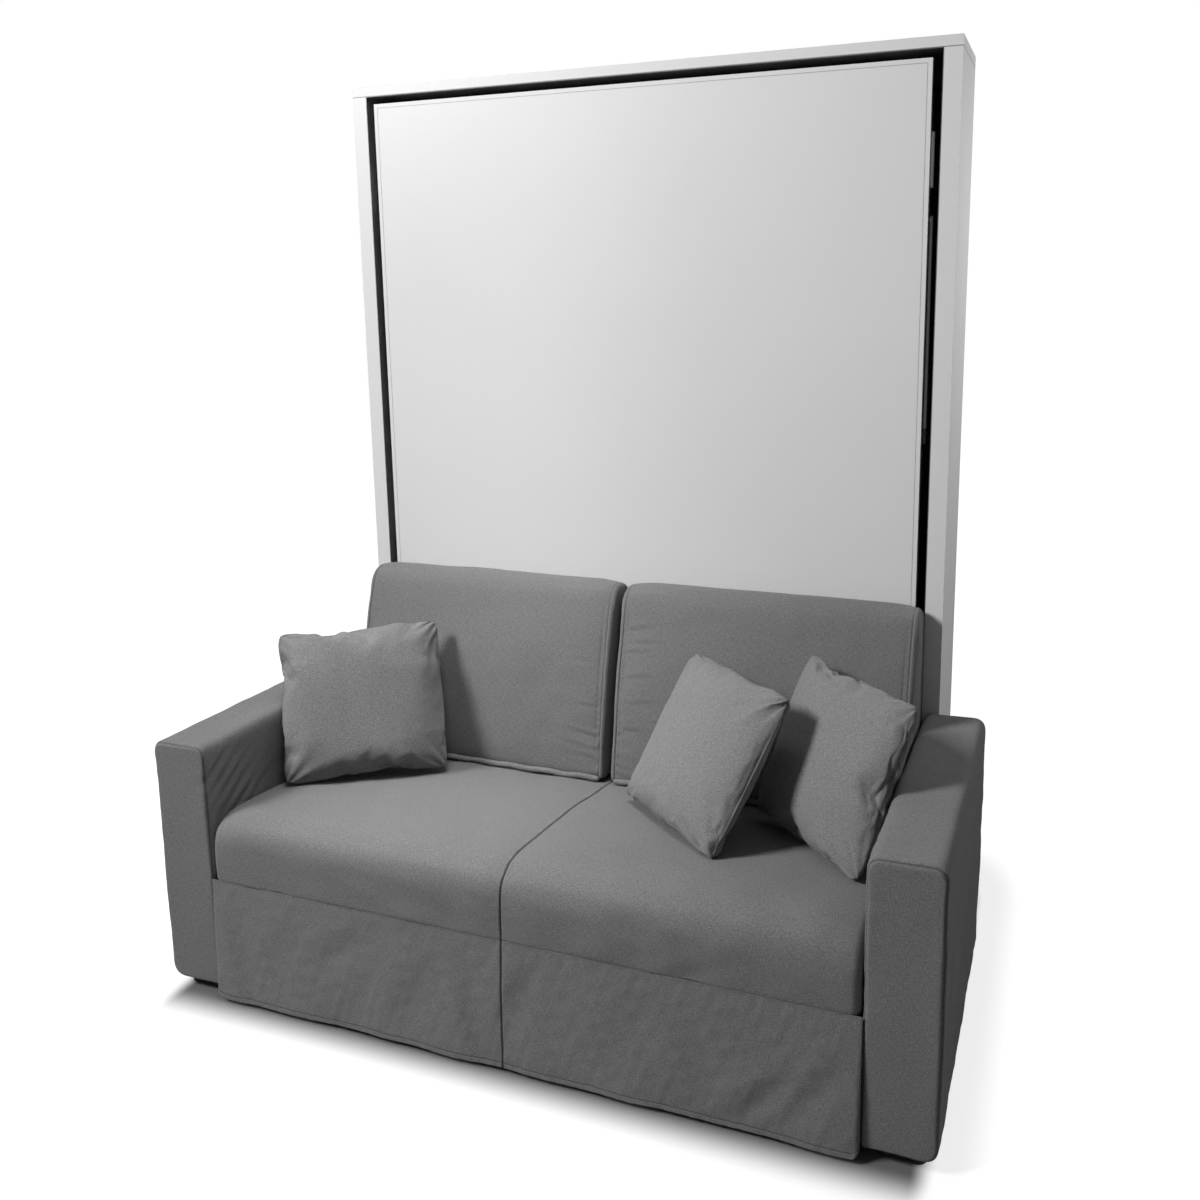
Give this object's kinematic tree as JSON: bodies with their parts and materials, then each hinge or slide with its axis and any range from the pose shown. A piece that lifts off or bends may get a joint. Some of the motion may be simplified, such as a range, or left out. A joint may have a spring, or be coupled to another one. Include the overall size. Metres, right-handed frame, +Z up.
{
  "type": "sofa wall bed",
  "caption": "Upright wall cabinet with a fold-down bed behind a flat face panel, and a skirted sofa with loose back cushions and pillows in front that the bed lowers over.",
  "frame": {"origin": "on the floor, in the middle of the whole part's box", "axes": "+X to the right seen from the front, +Y from the sofa's front to the wall, +Z up"},
  "size_m": [1.892, 1.127, 2.286],
  "materials": {
    "cabinet_white": "matte",
    "reveal_black": "matte",
    "back_board": "matte",
    "upholstery_grey": "matte",
    "mattress_cover": "matte",
    "strap_black": "matte",
    "frame_paint": "satin",
    "bright_steel": "satin",
    "black_plastic": "matte",
    "slat_wood": "satin",
    "frame_timber": "matte",
    "webbing_cloth": "matte"
  },
  "bodies": {
    "cabinet_and_sofa": {"arm_bracket_left": "bright_steel", "arm_bracket_right": "bright_steel", "arm_frame_left": "frame_timber", "arm_frame_right": "frame_timber", "arm_upholstery_left": "upholstery_grey", "arm_upholstery_right": "upholstery_grey", "cabinet_back": "back_board", "cabinet_base": "cabinet_white", "cabinet_feet": "black_plastic", "cabinet_screws": "bright_steel", "cabinet_side_left": "cabinet_white", "cabinet_side_right": "cabinet_white", "cabinet_top": "cabinet_white", "guide_track_left": "frame_paint", "guide_track_right": "frame_paint", "liner_left": "reveal_black", "liner_right": "reveal_black", "liner_top": "reveal_black", "seat_cushion": "upholstery_grey", "seat_deck": "frame_timber", "seat_frame": "frame_timber", "seat_webbing": "webbing_cloth", "skirt": "upholstery_grey", "sofa_bolts": "bright_steel", "sofa_brackets": "bright_steel", "sofa_feet": "black_plastic", "spring_cylinder_left": "bright_steel", "spring_cylinder_right": "bright_steel", "wall_rails": "frame_timber"},
    "lift_arms": {"lift_arm_left": "bright_steel", "lift_arm_right": "bright_steel"},
    "bed": {"face_panel": "cabinet_white", "face_trim": "cabinet_white", "bed_rail_left": "frame_paint", "bed_rail_right": "frame_paint", "bed_head_rail": "frame_paint", "bed_foot_rail": "frame_paint", "bed_cross_rails": "frame_paint", "bed_slats": "slat_wood", "slat_holders": "black_plastic", "mattress": "mattress_cover", "mattress_straps": "strap_black", "pivot_plate_left": "bright_steel", "pivot_plate_right": "bright_steel", "bed_bolts": "bright_steel", "side_guide_bars": "frame_paint"},
    "bed_legs": {"leg_left": "frame_paint", "leg_right": "frame_paint", "leg_feet": "black_plastic", "leg_cross_bar": "bright_steel"},
    "spring_rod_left": {"spring_rod_left": "bright_steel"},
    "spring_rod_right": {"spring_rod_right": "bright_steel"},
    "guide_roller_left": {"guide_roller_left": "black_plastic"},
    "guide_roller_right": {"guide_roller_right": "black_plastic"},
    "back_cushion_left": {"back_cushion_left": "upholstery_grey"},
    "back_cushion_right": {"back_cushion_right": "upholstery_grey"},
    "pillow_left": {"pillow_left": "upholstery_grey"},
    "pillow_middle": {"pillow_middle": "upholstery_grey"},
    "pillow_right": {"pillow_right": "upholstery_grey"}
  },
  "joints": [
    {"name": "lift_arm_swing", "type": "hinge", "parent": "cabinet_and_sofa", "child": "lift_arms", "pos_m": [0, 0.3175, 0.59784], "axis": [1, 0, 0], "range_deg": [-90, 0]},
    {"name": "bed_swing", "type": "hinge", "parent": "lift_arms", "child": "bed", "pos_m": [0, 0.34244, 0.45642], "axis": [1, 0, 0], "range_deg": [0, 180], "stiffness_Nm_per_rad": 130, "springref_deg": -17.19},
    {"name": "bed_legs_fold", "type": "hinge", "parent": "bed", "child": "bed_legs", "pos_m": [0, 0.3085, 1.875], "axis": [1, 0, 0], "range_deg": [-90, 0]},
    {"name": "spring_rod_left_turn", "type": "hinge", "parent": "bed", "child": "spring_rod_left", "pos_m": [-0.7695, 0.3175, 0.315], "axis": [1, 0, 0], "range_deg": [-90, 0]},
    {"name": "spring_rod_right_turn", "type": "hinge", "parent": "bed", "child": "spring_rod_right", "pos_m": [0.7695, 0.3175, 0.315], "axis": [1, 0, 0], "range_deg": [-90, 0]},
    {"name": "guide_roller_left_spin", "type": "hinge", "parent": "bed", "child": "guide_roller_left", "pos_m": [-0.777, 0.3175, 0.315], "axis": [1, 0, 0], "continuous": true},
    {"name": "guide_roller_right_spin", "type": "hinge", "parent": "bed", "child": "guide_roller_right", "pos_m": [0.777, 0.3175, 0.315], "axis": [1, 0, 0], "continuous": true},
    {"name": "back_cushion_left_set_down", "type": "hinge", "parent": "cabinet_and_sofa", "child": "back_cushion_left", "pos_m": [0, -0.63781, -0.49366], "axis": [1, 0, 0], "range_deg": [0, 100.9]},
    {"name": "back_cushion_right_set_down", "type": "hinge", "parent": "cabinet_and_sofa", "child": "back_cushion_right", "pos_m": [0, -0.63781, -0.49366], "axis": [1, 0, 0], "range_deg": [0, 100.9]},
    {"name": "pillow_left_set_down", "type": "hinge", "parent": "cabinet_and_sofa", "child": "pillow_left", "pos_m": [-0.21182, -1.19802, -0.45321], "axis": [0.913, -0.0072, -0.4078], "range_deg": [0, 133.5]},
    {"name": "pillow_middle_set_down", "type": "hinge", "parent": "cabinet_and_sofa", "child": "pillow_middle", "pos_m": [-0.02305, -1.16752, -0.29036], "axis": [0.9434, -0.0975, 0.3171], "range_deg": [0, 134.6]},
    {"name": "pillow_right_set_down", "type": "hinge", "parent": "cabinet_and_sofa", "child": "pillow_right", "pos_m": [0.26477, -1.21628, -0.45379], "axis": [0.8992, 0.033, 0.4363], "range_deg": [0, 136]}
  ],
  "couplings": [
    {"joint": "lift_arm_swing", "follows": "bed_swing", "ratio": -0.5},
    {"joint": "bed_legs_fold", "follows": "bed_swing", "ratio": -0.5},
    {"joint": "spring_rod_left_turn", "follows": "bed_swing", "ratio": -0.5},
    {"joint": "spring_rod_right_turn", "follows": "bed_swing", "ratio": -0.5},
    {"joint": "back_cushion_left_set_down", "follows": "bed_swing", "ratio": 0.56},
    {"joint": "back_cushion_right_set_down", "follows": "bed_swing", "ratio": 0.56},
    {"joint": "pillow_left_set_down", "follows": "bed_swing", "ratio": 0.74122},
    {"joint": "pillow_middle_set_down", "follows": "bed_swing", "ratio": 0.74725},
    {"joint": "pillow_right_set_down", "follows": "bed_swing", "ratio": 0.75479}
  ]
}
